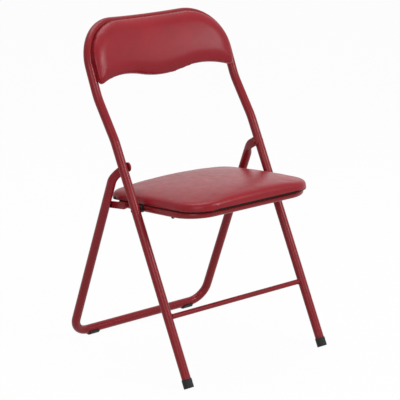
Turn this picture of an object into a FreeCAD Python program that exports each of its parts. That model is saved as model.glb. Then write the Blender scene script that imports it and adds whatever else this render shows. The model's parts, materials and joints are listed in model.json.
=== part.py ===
import FreeCAD, Part
import Sketcher
import math
import os

# Red steel folding chair with a padded seat and a padded, dished back.
# Millimetres. +Z is up, the sitter faces -Y, X runs across the chair.
# The origin is on the floor, in the middle of the chair's width and depth.
# "Left" is the -X side, as seen from in front. Lengths along a leg are measured on the tube's centre line.

V = FreeCAD.Vector
X_AXIS = V(1, 0, 0)
Z_AXIS = V(0, 0, 1)
SIDES = (("left", -1), ("right", 1))

DIMENSIONS = (
    # front frame: one tube bent into an inverted U
    ("frame_half_width", 208.0),
    ("tube_diameter", 21.0),
    ("tube_wall", 1.2),
    ("front_lean", 26.5),
    ("first_bend_height", 523.0),
    ("middle_lean", 34.5),
    ("second_bend_height", 613.0),
    ("back_lean", 23.0),
    ("side_bend_radius", 150.0),
    ("back_rise", 174.5),
    ("top_corner_radius", 103.0),
    ("rail_dish_angle", 9.2),
    ("rail_straight", 2.5),
    ("brace_height", 150.0),
    ("brace_diameter", 12.0),
    ("brace_wall", 1.0),
    # rubber caps on the front feet
    ("cap_diameter", 23.6),
    ("cap_length", 21.0),
    ("cap_base", 5.0),
    ("cap_chamfer", 0.8),
    ("floor_cut", 1.8),
    # pivots and their stacks of rivets, washers and bushes
    ("pivot_height", 466.0),
    ("seat_pivot_drop", 100.56),
    ("rivet_diameter", 7.0),
    ("rivet_head_diameter", 13.0),
    ("rivet_head_height", 2.4),
    ("outer_head_diameter", 9.0),
    ("outer_head_height", 1.2),
    ("running_fit", 0.05),
    ("side_gap", 0.2),
    ("washer_diameter", 14.0),
    ("washer_thickness", 0.6),
    ("bush_diameter", 15.0),
    # rear frame: one tube bent into a U, its ends flattened and joggled inwards
    ("rear_lean", 21.75),
    ("rear_setback", 24.49),
    ("rear_bend_radius", 72.0),
    ("tongue_length", 13.0),
    ("tongue_width", 22.0),
    ("tongue_thickness", 4.0),
    ("rear_corner_radius", 45.0),
    ("glide_thickness", 3.5),
    ("glide_flat_depth", 0.6),
    ("glide_length", 27.0),
    ("glide_wrap", 150.0),
    ("glide_offset", 149.0),
    # links between the rear legs and the seat rails
    ("link_drop", 119.0),
    ("link_thickness", 3.0),
    ("link_width", 16.0),
    # seat frame: one tube bent into a closed ring
    ("seat_tilt", 4.6),
    ("seat_side_gap", 9.5),
    ("seat_tube_diameter", 16.0),
    ("seat_tube_wall", 1.2),
    ("seat_front_reach", 167.0),
    ("seat_rear_reach", 112.0),
    ("seat_front_radius", 62.0),
    ("seat_rear_radius", 40.0),
    # seat board and pad
    ("board_thickness", 6.0),
    ("board_inset", 2.5),
    ("pad_side_gap", 9.5),
    ("pad_front_overhang", 14.0),
    ("pad_rear_overhang", 16.0),
    ("pad_front_radius", 72.0),
    ("pad_rear_radius", 34.0),
    ("pad_height", 29.5),
    ("pad_edge_height", 21.5),
    ("pad_top_round", 14.0),
    ("pad_tuck", 4.0),
    ("screw_diameter", 5.0),
    ("screw_head_diameter", 9.0),
    ("screw_head_height", 2.5),
    ("screw_bite", 4.0),
    ("screw_front", 98.0),
    ("screw_rear", 36.0),
    # back board, pad and the lugs that hold them
    ("back_board_radius", 1000.0),
    ("back_board_thickness", 5.0),
    ("back_edge_inset", 1.0),
    ("back_board_inset", 3.0),
    ("back_corner_round", 13.0),
    ("arch_height", 42.0),
    ("arch_offset", 110.0),
    ("arch_radius", 203.0),
    ("arch_drop", 12.5),
    ("back_pad_thickness", 22.0),
    ("back_hollow_radius", 1500.0),
    ("back_crown_radius", 420.0),
    ("back_pad_round", 11.0),
    ("lug_width", 18.0),
    ("lug_reach", 26.0),
    ("lug_thickness", 2.0),
    ("lug_low", 45.0),
    ("lug_high", 74.0),
)

doc = FreeCAD.newDocument("folding_chair")
sheet = doc.addObject("Spreadsheet::Sheet", "dims")
for row, (alias, number) in enumerate(DIMENSIONS, start=1):
    sheet.set(f"A{row}", alias)
    sheet.set(f"B{row}", str(number))
    sheet.setAlias(f"B{row}", alias)
doc.recompute()

nodes = {}


def size(alias):
    """One driving dimension, read from the sheet."""
    return float(sheet.get(alias))


def node(name, item):
    """Files a finished sub-part under its name."""
    item.Label = name
    nodes[name] = item
    return item


# shapes made from a path: straight runs joined by tangent arcs

def arc_at(corner, before, after, radius):
    """The arc that rounds a corner, as (start, middle, end), between two unit directions."""
    half_turn = before.getAngle(after) / 2
    reach = radius * math.tan(half_turn)
    inward = (after - before).normalize()
    centre = corner + inward * (radius / math.cos(half_turn))
    return corner - before * reach, centre - inward * radius, corner + after * reach


def bent_edges(points, radii):
    """Edges along points, with a radius at each inner point."""
    edges = []
    start = points[0]
    for index, radius in enumerate(radii, start=1):
        before = (points[index] - points[index - 1]).normalize()
        after = (points[index + 1] - points[index]).normalize()
        first, middle, last = arc_at(points[index], before, after, radius)
        edges.append(Part.LineSegment(start, first).toShape())
        edges.append(Part.Arc(first, middle, last).toShape())
        start = last
    edges.append(Part.LineSegment(start, points[-1]).toShape())
    return edges


def rod_along(edges, radius):
    """A round solid swept along joined edges."""
    path = Part.Wire(edges)
    first = edges[0]
    start = first.valueAt(first.FirstParameter)
    heading = first.tangentAt(first.FirstParameter)
    profile = Part.Wire(Part.makeCircle(radius, start, heading))
    return path.makePipeShell([profile], True, False)


def tube_along(edges, radius, wall):
    """A hollow tube along joined edges, checked against section times length."""
    tube = rod_along(edges, radius).cut(rod_along(edges, radius - wall))
    length = sum(edge.Length for edge in edges)
    wanted = math.pi * (radius ** 2 - (radius - wall) ** 2) * length
    if abs(tube.Volume - wanted) > 0.01 * wanted:
        raise RuntimeError(f"tube volume {tube.Volume:.0f} differs from {wanted:.0f}")
    return tube


def across(centre, radius, inner, outer, side):
    """A plain pin shape along X, from inner to outer distance on one side."""
    start = V(side * inner, centre.y, centre.z)
    return Part.makeCylinder(radius, outer - inner, start, X_AXIS * side)


# document objects whose sizes are bound to the sheet

def cylinder(name, radius, height, base, axis):
    """A Part cylinder with bound radius and height."""
    item = doc.addObject("Part::Cylinder", name)
    item.setExpression("Radius", radius)
    item.setExpression("Height", height)
    item.Placement = FreeCAD.Placement(base, FreeCAD.Rotation(Z_AXIS, axis))
    return item


def cone(name, low, high, height, base, axis):
    """A Part cone with bound radii and height."""
    item = doc.addObject("Part::Cone", name)
    item.setExpression("Radius1", low)
    item.setExpression("Radius2", high)
    item.setExpression("Height", height)
    item.Placement = FreeCAD.Placement(base, FreeCAD.Rotation(Z_AXIS, axis))
    return item


def rivet_head(name, base, axis):
    """A low cone-shaped rivet head that stands on its base."""
    return cone(name, "dims.rivet_head_diameter / 2", "dims.rivet_diameter / 2 + dims.side_gap",
                "dims.rivet_head_height", base, axis)


def shaped(name, shape, placement=None):
    """A feature whose shape comes from Part's own functions."""
    item = doc.addObject("Part::Feature", name)
    item.Shape = shape
    if placement is not None:
        item.Placement = placement
    return item


def cut(name, base, tool):
    item = doc.addObject("Part::Cut", name)
    item.Base = base
    item.Tool = tool
    return item


def common(name, base, tool):
    item = doc.addObject("Part::Common", name)
    item.Base = base
    item.Tool = tool
    return item


def fuse(name, pieces):
    item = doc.addObject("Part::MultiFuse", name)
    item.Shapes = pieces
    return item


def group(name, pieces):
    item = doc.addObject("Part::Compound", name)
    item.Links = pieces
    return item


def rounded(name, base, radius, wanted):
    """Rounds the edges of a base for which wanted(edge) is true."""
    doc.recompute()
    item = doc.addObject("Part::Fillet", name)
    item.Base = base
    limit = size(radius)
    edges = base.Shape.Edges
    item.Edges = [(index, limit, limit) for index, edge in enumerate(edges, start=1) if wanted(edge)]
    return item


def origin_plane(body, role):
    for feature in body.Origin.OriginFeatures:
        if feature.Role == role:
            return feature
    raise RuntimeError(f"no plane {role}")


def sketch_on(body, name, role):
    sketch = body.newObject("Sketcher::SketchObject", name)
    sketch.AttachmentSupport = (origin_plane(body, role), [""])
    sketch.MapMode = "FlatFace"
    return sketch


def bound(sketch, constraint, name, expression):
    """Adds a dimension to a sketch and ties it to the sheet."""
    index = sketch.addConstraint(constraint)
    sketch.renameConstraint(index, name)
    sketch.setExpression("Constraints." + name, expression)


def number(expression):
    """The present value of a sheet expression."""
    return float(sheet.evalExpression(expression.replace("dims.", "")))


def rounded_outline(sketch, half_width, front, rear, front_radius, rear_radius):
    """A rectangle with rounded corners; front is -Y. The five sizes are sheet expressions."""
    w, f, r = number(half_width), number(front), number(rear)
    rf, rr = number(front_radius), number(rear_radius)
    corners = (
        (w - rf, rf - f, rf, -90),
        (w - rr, r - rr, rr, 0),
        (rr - w, r - rr, rr, 90),
        (rf - w, rf - f, rf, 180),
    )
    lines = (
        (V(rf - w, -f, 0), V(w - rf, -f, 0)),
        (V(w, rf - f, 0), V(w, r - rr, 0)),
        (V(w - rr, r, 0), V(rr - w, r, 0)),
        (V(-w, r - rr, 0), V(-w, rf - f, 0)),
    )
    for (start, end), (cx, cy, radius, angle) in zip(lines, corners):
        sketch.addGeometry(Part.LineSegment(start, end), False)
        circle = Part.Circle(V(cx, cy, 0), Z_AXIS, radius)
        sketch.addGeometry(Part.ArcOfCircle(circle, math.radians(angle), math.radians(angle + 90)), False)
    for index in range(8):
        sketch.addConstraint(Sketcher.Constraint("Tangent", index, 2, (index + 1) % 8, 1))
    for index in (0, 4):
        sketch.addConstraint(Sketcher.Constraint("Horizontal", index))
    for index in (2, 6):
        sketch.addConstraint(Sketcher.Constraint("Vertical", index))
    sketch.addConstraint(Sketcher.Constraint("Equal", 1, 7))
    sketch.addConstraint(Sketcher.Constraint("Equal", 3, 5))
    bound(sketch, Sketcher.Constraint("DistanceX", -1, 1, 2, 1, w), "right_half", half_width)
    bound(sketch, Sketcher.Constraint("DistanceX", 6, 1, -1, 1, w), "left_half", half_width)
    bound(sketch, Sketcher.Constraint("DistanceY", 0, 1, -1, 1, f), "front_reach", front)
    bound(sketch, Sketcher.Constraint("DistanceY", -1, 1, 4, 1, r), "rear_reach", rear)
    bound(sketch, Sketcher.Constraint("Radius", 1, rf), "front_corner", front_radius)
    bound(sketch, Sketcher.Constraint("Radius", 3, rr), "rear_corner", rear_radius)


def padded(body, sketch, length):
    """Extrudes a sketch by a bound length."""
    feature = body.newObject("PartDesign::Pad", sketch.Name + "_pad")
    feature.Profile = sketch
    feature.setExpression("Length", length)
    return feature


# places worked out from the driving dimensions

def leaning(alias):
    """Upward direction of a tube that leans back by an angle."""
    angle = math.radians(size(alias))
    return V(0, math.sin(angle), math.cos(angle))


tube_radius = size("tube_diameter") / 2
half_width = size("frame_half_width")
front_up = leaning("front_lean")
middle_up = leaning("middle_lean")
back_up = leaning("back_lean")

# the rear leg's downward direction, and the direction square to it towards the back
rear_angle = math.radians(size("rear_lean"))
rear_down = V(0, math.sin(rear_angle), -math.cos(rear_angle))
rear_back = V(0, math.cos(rear_angle), math.sin(rear_angle))

# depth of the chair, from the front cap's rim to the back of the glides
front_angle = math.radians(size("front_lean"))
cap_radius = size("cap_diameter") / 2
cap_start = (cap_radius * math.sin(front_angle) - size("floor_cut")) / math.cos(front_angle)
cap_front = (cap_start + size("cap_chamfer")) * math.sin(front_angle) - cap_radius * math.cos(front_angle)
bar_height = tube_radius + size("glide_thickness")
glide_radius = bar_height + size("glide_flat_depth")
bar_back = (
    size("pivot_height") * math.tan(front_angle)
    + size("rear_setback") / math.cos(rear_angle)
    + (size("pivot_height") - bar_height) * math.tan(rear_angle)
)
glide_back = bar_back + glide_radius * math.sin(math.radians(size("glide_wrap") / 2))
foot = V(0, -(cap_front + glide_back) / 2, 0)


def front_at(height):
    """Point on the front leg's centre line, in the middle plane, at a height."""
    return foot + front_up * (height / front_up.z)


pivot = front_at(size("pivot_height"))
seat_pivot = pivot - front_up * size("seat_pivot_drop")
first_bend = front_at(size("first_bend_height"))
middle_rise = size("second_bend_height") - size("first_bend_height")
second_bend = first_bend + middle_up * (middle_rise / middle_up.z)

# the seat's own frame: x across, y to the rear, z up from the rails' centre plane
seat_frame = FreeCAD.Placement(seat_pivot, FreeCAD.Rotation(X_AXIS, -size("seat_tilt")))
seat_rear = seat_frame.Rotation.multVec(V(0, 1, 0))
seat_up = seat_frame.Rotation.multVec(Z_AXIS)
# the back's own frame: x across, y up along the tubes, z out of the back towards the sitter
back_frame = FreeCAD.Placement(second_bend, FreeCAD.Rotation(X_AXIS, 90 - size("back_lean")))

# link pivots: one on the rear leg; the other on the seat rail, placed so that one rigid link
# spans them both with the chair open and with it folded flat
leg_pin = pivot + rear_back * size("rear_setback") + rear_down * size("link_drop")
span = leg_pin - seat_pivot
folded_drop = size("link_drop") - size("seat_pivot_drop")
rail_pin_reach = (
    (span.dot(span) - folded_drop ** 2 - size("rear_setback") ** 2)
    / (2 * (span.dot(seat_rear) - folded_drop))
)
rail_pin = seat_pivot + seat_rear * rail_pin_reach
link_length = (leg_pin - rail_pin).Length

# distances from the middle plane, counted inwards from the front tube's inner side
gap = size("side_gap")
tube_inside = half_width - tube_radius
washer_in = tube_inside - gap - size("washer_thickness")
tongue_out = washer_in - gap
tongue_in = tongue_out - size("tongue_thickness")
head_out = tongue_in - gap
seat_tube_radius = size("seat_tube_diameter") / 2
rail_outside = tube_inside - size("seat_side_gap")
link_in = tongue_in
link_out = link_in + size("link_thickness")

SEAT_HALF = (
    "(dims.frame_half_width - dims.tube_diameter / 2 - dims.seat_side_gap - dims.seat_tube_diameter / 2)"
)
PAD_HALF = "(dims.frame_half_width - dims.tube_diameter / 2 - dims.pad_side_gap)"
PAD_FRONT = "(dims.seat_front_reach + dims.seat_tube_diameter / 2 + dims.pad_front_overhang)"
PAD_REAR = "(dims.seat_rear_reach + dims.seat_tube_diameter / 2 + dims.pad_rear_overhang)"
# how far the pad's front corners lie from its middle, how far they fall below it, and the ball that fits
PAD_CORNER = (
    f"(sqrt(({PAD_HALF} - dims.pad_front_radius) ^ 2"
    f" + (({PAD_FRONT} + {PAD_REAR}) / 2 - dims.pad_front_radius) ^ 2) + dims.pad_front_radius)"
)
PAD_FALL = "(dims.pad_height - dims.pad_edge_height)"
PAD_BALL = f"(({PAD_CORNER} ^ 2 + {PAD_FALL} ^ 2) / (2 * {PAD_FALL}))"
HOLE = size("rivet_diameter") / 2 + size("running_fit")

FLOOR_SIDE = 2000.0
floor = doc.addObject("Part::Box", "floor_block")
floor.Length = FLOOR_SIDE
floor.Width = FLOOR_SIDE
floor.Height = FLOOR_SIDE
floor.Placement.Base = V(-FLOOR_SIDE / 2, -FLOOR_SIDE / 2, -FLOOR_SIDE)


# front frame

def front_frame_points(side):
    """Corners of the front tube's centre line on one side, from the foot up."""
    offset = X_AXIS * (side * half_width)
    leg_end = foot + front_up * (cap_start + size("cap_base"))
    shoulder = second_bend + back_up * size("back_rise")
    return [point + offset for point in (leg_end, first_bend, second_bend, shoulder)]


def front_frame_edges():
    """The inverted U. Its top rail is dished: the middle stands behind the side tubes."""
    shoulder = second_bend + back_up * size("back_rise")
    behind = back_frame.Rotation.multVec(V(0, 0, -1))
    dish = half_width * math.tan(math.radians(size("rail_dish_angle")))
    points = front_frame_points(-1) + [shoulder + behind * dish] + front_frame_points(1)[::-1]
    bends = [size("side_bend_radius"), size("side_bend_radius"), size("top_corner_radius")]
    slope = math.radians(size("rail_dish_angle"))
    free = half_width / math.cos(slope) - size("top_corner_radius") - size("rail_straight")
    return bent_edges(points, bends + [free / math.tan(slope)] + bends[::-1])


front_tube = tube_along(front_frame_edges(), tube_radius, size("tube_wall"))
for _, side in SIDES:
    for centre in (pivot, seat_pivot):
        drill = across(centre, HOLE, tube_inside - tube_radius, half_width + 2 * tube_radius, side)
        front_tube = front_tube.cut(drill)
node("front_frame_tube", shaped("front_tube", front_tube))

brace_centre = front_at(size("brace_height"))
brace_start = brace_centre - X_AXIS * half_width
brace_span = "2 * dims.frame_half_width"
brace = cut(
    "brace_bored",
    cylinder("brace_rod", "dims.brace_diameter / 2", brace_span, brace_start, X_AXIS),
    cylinder("brace_bore", "dims.brace_diameter / 2 - dims.brace_wall", brace_span, brace_start, X_AXIS),
)
for label, side in SIDES:
    low = foot + X_AXIS * (side * half_width)
    leg = cylinder("brace_cope_" + label, "dims.tube_diameter / 2 + dims.running_fit",
                   "dims.first_bend_height", low, front_up)
    brace = cut("brace_coped_" + label, brace, leg)
node("front_brace", brace)


def foot_cap(label, side):
    """A rubber cup on the leg's end, worn flat where it stands on the floor."""
    low = foot + X_AXIS * (side * half_width) + front_up * cap_start
    chamfer = cone(f"cap_edge_{label}", "dims.cap_diameter / 2 - dims.cap_chamfer", "dims.cap_diameter / 2",
                   "dims.cap_chamfer", low, front_up)
    wall = cylinder(f"cap_wall_{label}", "dims.cap_diameter / 2", "dims.cap_length - dims.cap_chamfer",
                    low + front_up * size("cap_chamfer"), front_up)
    bore = cylinder(f"cap_bore_{label}", "dims.tube_diameter / 2 + dims.running_fit", "dims.cap_length",
                    low + front_up * size("cap_base"), front_up)
    cup = cut(f"cap_cup_{label}", fuse(f"cap_block_{label}", [chamfer, wall]), bore)
    node(f"foot_cap_{label}", cut(f"cap_flat_{label}", cup, floor))


def pivot_pieces(label, side):
    """Rivet and spacing washer that join a rear leg's tongue to the front tube."""
    outward = X_AXIS * side

    def at(distance):
        return V(side * distance, pivot.y, pivot.z)

    head = rivet_head(f"pivot_head_{label}", at(head_out), X_AXIS * -side)
    shank = cylinder(
        f"pivot_shank_{label}", "dims.rivet_diameter / 2",
        "dims.tube_diameter + 3 * dims.side_gap + dims.washer_thickness + dims.tongue_thickness",
        at(head_out), outward)
    cap = cone(f"pivot_cap_{label}", "dims.outer_head_diameter / 2", "dims.rivet_diameter / 2",
               "dims.outer_head_height", at(half_width + tube_radius), outward)
    node(f"pivot_rivet_{label}", fuse(f"pivot_rivet_solid_{label}", [head, shank, cap]))
    disc = cylinder(f"washer_disc_{label}", "dims.washer_diameter / 2", "dims.washer_thickness",
                    at(washer_in), outward)
    hole = cylinder(f"washer_hole_{label}", "dims.rivet_diameter / 2 + dims.running_fit",
                    "dims.washer_thickness", at(washer_in), outward)
    node(f"pivot_washer_{label}", cut(f"washer_ring_{label}", disc, hole))


def seat_pivot_pieces(label, side):
    """Rivet on which a seat rail turns, and the bush between the rail and the front tube."""
    outward = X_AXIS * side

    def at(distance):
        return V(side * distance, seat_pivot.y, seat_pivot.z)

    inner_end = rail_outside - size("seat_tube_diameter") - gap
    head = rivet_head(f"seat_head_{label}", at(inner_end), X_AXIS * -side)
    shank = cylinder(
        f"seat_shank_{label}", "dims.rivet_diameter / 2",
        "dims.tube_diameter + dims.seat_side_gap + dims.seat_tube_diameter + dims.side_gap",
        at(inner_end), outward)
    cap = cone(f"seat_cap_{label}", "dims.outer_head_diameter / 2", "dims.rivet_diameter / 2",
               "dims.outer_head_height", at(half_width + tube_radius), outward)
    node(f"seat_rivet_{label}", fuse(f"seat_rivet_solid_{label}", [head, shank, cap]))
    ring = cylinder(f"bush_disc_{label}", "dims.bush_diameter / 2", "dims.seat_side_gap - 2 * dims.side_gap",
                    at(rail_outside + gap), outward)
    hole = cylinder(f"bush_hole_{label}", "dims.rivet_diameter / 2 + dims.running_fit",
                    "dims.seat_side_gap", at(rail_outside), outward)
    node(f"seat_bush_{label}", cut(f"bush_ring_{label}", ring, hole))


for label, side in SIDES:
    foot_cap(label, side)
    pivot_pieces(label, side)
    seat_pivot_pieces(label, side)


# rear frame

bend_radius = size("rear_bend_radius")
bend_forward = bend_radius - size("rear_setback")
bend_down = math.sqrt(bend_radius ** 2 + size("tongue_length") ** 2 - bend_forward ** 2)
bend_centre = pivot - rear_back * bend_forward + rear_down * bend_down
to_pivot = pivot - bend_centre
bend_turn = rear_back.getAngle(to_pivot) - math.atan2(size("tongue_length"), bend_radius)
FLATTENING_START = 0.05
FLATTENING_STEPS = 5
TONGUE_FLATNESS = 0.96


def bend_frame(share):
    """Centre, outward direction and heading at a share of the rear leg's top bend."""
    turn = FreeCAD.Rotation(X_AXIS, math.degrees(bend_turn * share))
    outward = turn.multVec(rear_back)
    return bend_centre + outward * bend_radius, outward, turn.multVec(rear_down * -1)


def flattened_section(share, side, beyond=0.0):
    """The leg's outline where it changes from a round tube to a flat tongue."""
    change = (share - FLATTENING_START) / (1 - FLATTENING_START)
    change = change * change * (3 - 2 * change)
    centre, outward, heading = bend_frame(share)

    def blend(round_size, flat_size):
        return round_size + (flat_size - round_size) * change

    high = blend(tube_radius, size("tongue_width") / 2)
    thick = blend(tube_radius, size("tongue_thickness") / 2)
    diagonal = tube_radius * math.sqrt(0.5)
    corner_high = blend(diagonal, size("tongue_width") / 2 - size("tongue_thickness") / 2)
    corner_thick = blend(diagonal, TONGUE_FLATNESS * size("tongue_thickness") / 2)
    across_by = blend(half_width, (tongue_in + tongue_out) / 2)
    middle = centre + heading * beyond + X_AXIS * (side * across_by)

    def at(x, height):
        return middle + X_AXIS * x + outward * height

    arcs = (
        (at(-corner_thick, corner_high), at(0, high), at(corner_thick, corner_high)),
        (at(corner_thick, corner_high), at(thick, 0), at(corner_thick, -corner_high)),
        (at(corner_thick, -corner_high), at(0, -high), at(-corner_thick, -corner_high)),
        (at(-corner_thick, -corner_high), at(-thick, 0), at(-corner_thick, corner_high)),
    )
    return Part.Wire([Part.Arc(*points).toShape() for points in arcs])


def flattened_end(side):
    """The joggled, flattened end of a rear leg, with its rounded tongue."""
    shares = [FLATTENING_START + (1 - FLATTENING_START) * step / FLATTENING_STEPS
              for step in range(FLATTENING_STEPS + 1)]
    neck = Part.makeLoft([flattened_section(share, side) for share in shares], True, False)
    root = flattened_section(1.0, side)
    _, _, heading = bend_frame(1.0)
    tongue = Part.Face(root).extrude(heading * size("tongue_length"))
    eye = across(pivot, size("tongue_width") / 2, tongue_in, tongue_out, side)
    return neck.fuse(tongue).fuse(eye)


def rear_frame_edges():
    """The U of the rear legs and the bar on the floor, up to where flattening starts."""
    top, _, _ = bend_frame(FLATTENING_START)
    middle, _, _ = bend_frame(FLATTENING_START / 2)
    low, _, _ = bend_frame(0.0)
    bar = V(0, foot.y + bar_back, bar_height)
    left = X_AXIS * -half_width
    right = X_AXIS * half_width
    radius = size("rear_corner_radius")
    bottom = bent_edges([low + left, bar + left, bar + right, low + right], [radius, radius])
    first = Part.Arc(top + left, middle + left, low + left).toShape()
    last = Part.Arc(low + right, middle + right, top + right).toShape()
    return [first] + bottom + [last]


rear_tube = tube_along(rear_frame_edges(), tube_radius, size("tube_wall"))
for _, side in SIDES:
    rear_tube = rear_tube.fuse(flattened_end(side))
for _, side in SIDES:
    rear_tube = rear_tube.cut(across(pivot, HOLE, head_out, tube_inside, side))
    rear_tube = rear_tube.cut(across(leg_pin, HOLE, head_out, half_width, side))
node("rear_frame_tube", shaped("rear_tube", rear_tube.removeSplitter()))


def rear_glide(label, side):
    """A saddle under the floor bar, with a flat sole."""
    start = V(side * size("glide_offset") - size("glide_length") / 2, foot.y + bar_back, bar_height)
    outer = cylinder(f"glide_outer_{label}",
                     "dims.tube_diameter / 2 + dims.glide_thickness + dims.glide_flat_depth",
                     "dims.glide_length", start, X_AXIS)
    outer.setExpression("Angle", "dims.glide_wrap")
    edge = FreeCAD.Rotation(X_AXIS, -90 - size("glide_wrap") / 2).multVec(V(0, 1, 0))
    outer.Placement = FreeCAD.Placement(start, FreeCAD.Rotation(edge, X_AXIS.cross(edge), X_AXIS, "ZXY"))
    inner = cylinder(f"glide_inner_{label}", "dims.tube_diameter / 2 + dims.running_fit",
                     "dims.glide_length", start, X_AXIS)
    saddle = cut(f"glide_saddle_{label}", outer, inner)
    node(f"rear_glide_{label}", cut(f"glide_flat_{label}", saddle, floor))


def leg_pin_pieces(label, side):
    """Pin on which a link turns, set in the rear leg's inner wall, and its spacer."""
    outward = X_AXIS * side

    def at(distance):
        return V(side * distance, leg_pin.y, leg_pin.z)

    head = rivet_head(f"leg_pin_head_{label}", at(head_out), X_AXIS * -side)
    shank = cylinder(
        f"leg_pin_shank_{label}", "dims.rivet_diameter / 2",
        "3 * dims.side_gap + dims.washer_thickness + dims.tongue_thickness + dims.tube_diameter / 4",
        at(head_out), outward)
    node(f"link_pin_{label}", fuse(f"leg_pin_solid_{label}", [head, shank]))
    ring = cylinder(f"spacer_disc_{label}", "dims.bush_diameter / 2",
                    "dims.tongue_thickness + dims.washer_thickness - dims.link_thickness",
                    at(link_out + gap), outward)
    hole = cylinder(f"spacer_hole_{label}", "dims.rivet_diameter / 2 + dims.running_fit",
                    "dims.tongue_thickness", at(link_out), outward)
    node(f"link_spacer_{label}", cut(f"spacer_ring_{label}", ring, hole))


for label, side in SIDES:
    rear_glide(label, side)
    leg_pin_pieces(label, side)


# links

def link(label, side):
    """A flat link with two eyes; its own frame runs from the rear leg's pin to the rail's."""
    body = doc.addObject("PartDesign::Body", f"link_body_{label}")
    sketch = sketch_on(body, f"link_outline_{label}", "XY_Plane")
    radius = size("link_width") / 2
    quarter = math.pi / 2
    left_arc = Part.ArcOfCircle(Part.Circle(V(0, 0, 0), Z_AXIS, radius), quarter, 3 * quarter)
    right_arc = Part.ArcOfCircle(Part.Circle(V(link_length, 0, 0), Z_AXIS, radius), -quarter, quarter)
    sketch.addGeometry(left_arc, False)
    sketch.addGeometry(Part.LineSegment(V(0, -radius, 0), V(link_length, -radius, 0)), False)
    sketch.addGeometry(right_arc, False)
    sketch.addGeometry(Part.LineSegment(V(link_length, radius, 0), V(0, radius, 0)), False)
    for index in range(4):
        sketch.addConstraint(Sketcher.Constraint("Tangent", index, 2, (index + 1) % 4, 1))
    sketch.addConstraint(Sketcher.Constraint("Coincident", 0, 3, -1, 1))
    sketch.addConstraint(Sketcher.Constraint("PointOnObject", 2, 3, -1))
    sketch.addConstraint(Sketcher.Constraint("Equal", 0, 2))
    sketch.addConstraint(Sketcher.Constraint("DistanceX", 0, 3, 2, 3, link_length))
    bound(sketch, Sketcher.Constraint("Radius", 0, radius), "end_radius", "dims.link_width / 2")
    for index, arc in ((4, 0), (5, 2)):
        centre = V(0, 0, 0) if arc == 0 else V(link_length, 0, 0)
        sketch.addGeometry(Part.Circle(centre, Z_AXIS, HOLE), False)
        sketch.addConstraint(Sketcher.Constraint("Coincident", index, 3, arc, 3))
        bound(sketch, Sketcher.Constraint("Radius", index, HOLE), f"eye_{arc}",
              "dims.rivet_diameter / 2 + dims.running_fit")
    padded(body, sketch, "dims.link_thickness")
    towards = (rail_pin - leg_pin).normalize()
    turned = FreeCAD.Rotation(towards, X_AXIS.cross(towards), X_AXIS, "XZY")
    inner = link_in if side > 0 else -link_out
    body.Placement = FreeCAD.Placement(V(inner, leg_pin.y, leg_pin.z), turned)
    node(f"link_{label}", body)


def link_rivet(label, side):
    """The link's rail-end rivet: head outside the link, collar up to the rail."""
    outward = X_AXIS * side

    def at(distance):
        return V(side * distance, rail_pin.y, rail_pin.z)

    head = cone(f"link_head_{label}", "dims.rivet_head_diameter / 2", "dims.rivet_diameter / 2",
                "dims.tongue_thickness + dims.washer_thickness - dims.link_thickness - dims.side_gap",
                at(link_out + gap), outward)
    shank = cylinder(f"link_shank_{label}", "dims.rivet_diameter / 2",
                     "dims.link_thickness + 2 * dims.side_gap", at(link_in - gap), outward)
    collar_length = link_in - gap - (rail_outside + 2 * gap)
    collar = cylinder(f"link_collar_{label}", "dims.bush_diameter / 2", str(collar_length),
                      at(rail_outside + 2 * gap), outward)
    node(f"link_rivet_{label}", fuse(f"link_rivet_solid_{label}", [head, shank, collar]))


for label, side in SIDES:
    link(label, side)
    link_rivet(label, side)


# seat

def in_seat(x, y, z):
    return seat_frame.multVec(V(x, y, z))


ring_body = doc.addObject("PartDesign::Body", "seat_ring")
ring_path = sketch_on(ring_body, "seat_ring_path", "XY_Plane")
rounded_outline(ring_path, SEAT_HALF, "dims.seat_front_reach", "dims.seat_rear_reach",
                "dims.seat_front_radius", "dims.seat_rear_radius")


def ring_sweep(kind, name, radius):
    """Sweeps a circle round the seat ring's path, to add the tube or to bore it."""
    section = sketch_on(ring_body, name + "_section", "XZ_Plane")
    section.addGeometry(Part.Circle(V(number(SEAT_HALF), 0, 0), Z_AXIS, number(radius)), False)
    section.addConstraint(Sketcher.Constraint("PointOnObject", 0, 3, -1))
    bound(section, Sketcher.Constraint("DistanceX", -1, 1, 0, 3, number(SEAT_HALF)), "centre", SEAT_HALF)
    bound(section, Sketcher.Constraint("Radius", 0, number(radius)), "radius", radius)
    doc.recompute()
    sweep = ring_body.newObject(kind, name)
    sweep.Profile = section
    sweep.Spine = (ring_path, [f"Edge{index}" for index in range(1, 9)])
    doc.recompute()


RING_BORE = "dims.seat_tube_diameter / 2 - dims.seat_tube_wall"
ring_sweep("PartDesign::AdditivePipe", "seat_ring_rod", "dims.seat_tube_diameter / 2")
ring_sweep("PartDesign::SubtractivePipe", "seat_ring_bore", RING_BORE)
ring_length = sum(edge.Length for edge in ring_path.Shape.Edges)
ring_wanted = math.pi * (seat_tube_radius ** 2 - number(RING_BORE) ** 2) * ring_length
if abs(ring_body.Shape.Volume - ring_wanted) > 0.01 * ring_wanted:
    raise RuntimeError(f"seat ring volume {ring_body.Shape.Volume:.0f} differs from {ring_wanted:.0f}")
ring_body.Placement = seat_frame
doc.recompute()

SCREW_PLACES = [(side * number(SEAT_HALF), place) for _, side in SIDES
                for place in (-size("screw_front"), size("screw_rear"))]
board_low = seat_tube_radius + gap
screw_length = "(dims.seat_tube_diameter + 2 * dims.side_gap + dims.screw_bite)"

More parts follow.
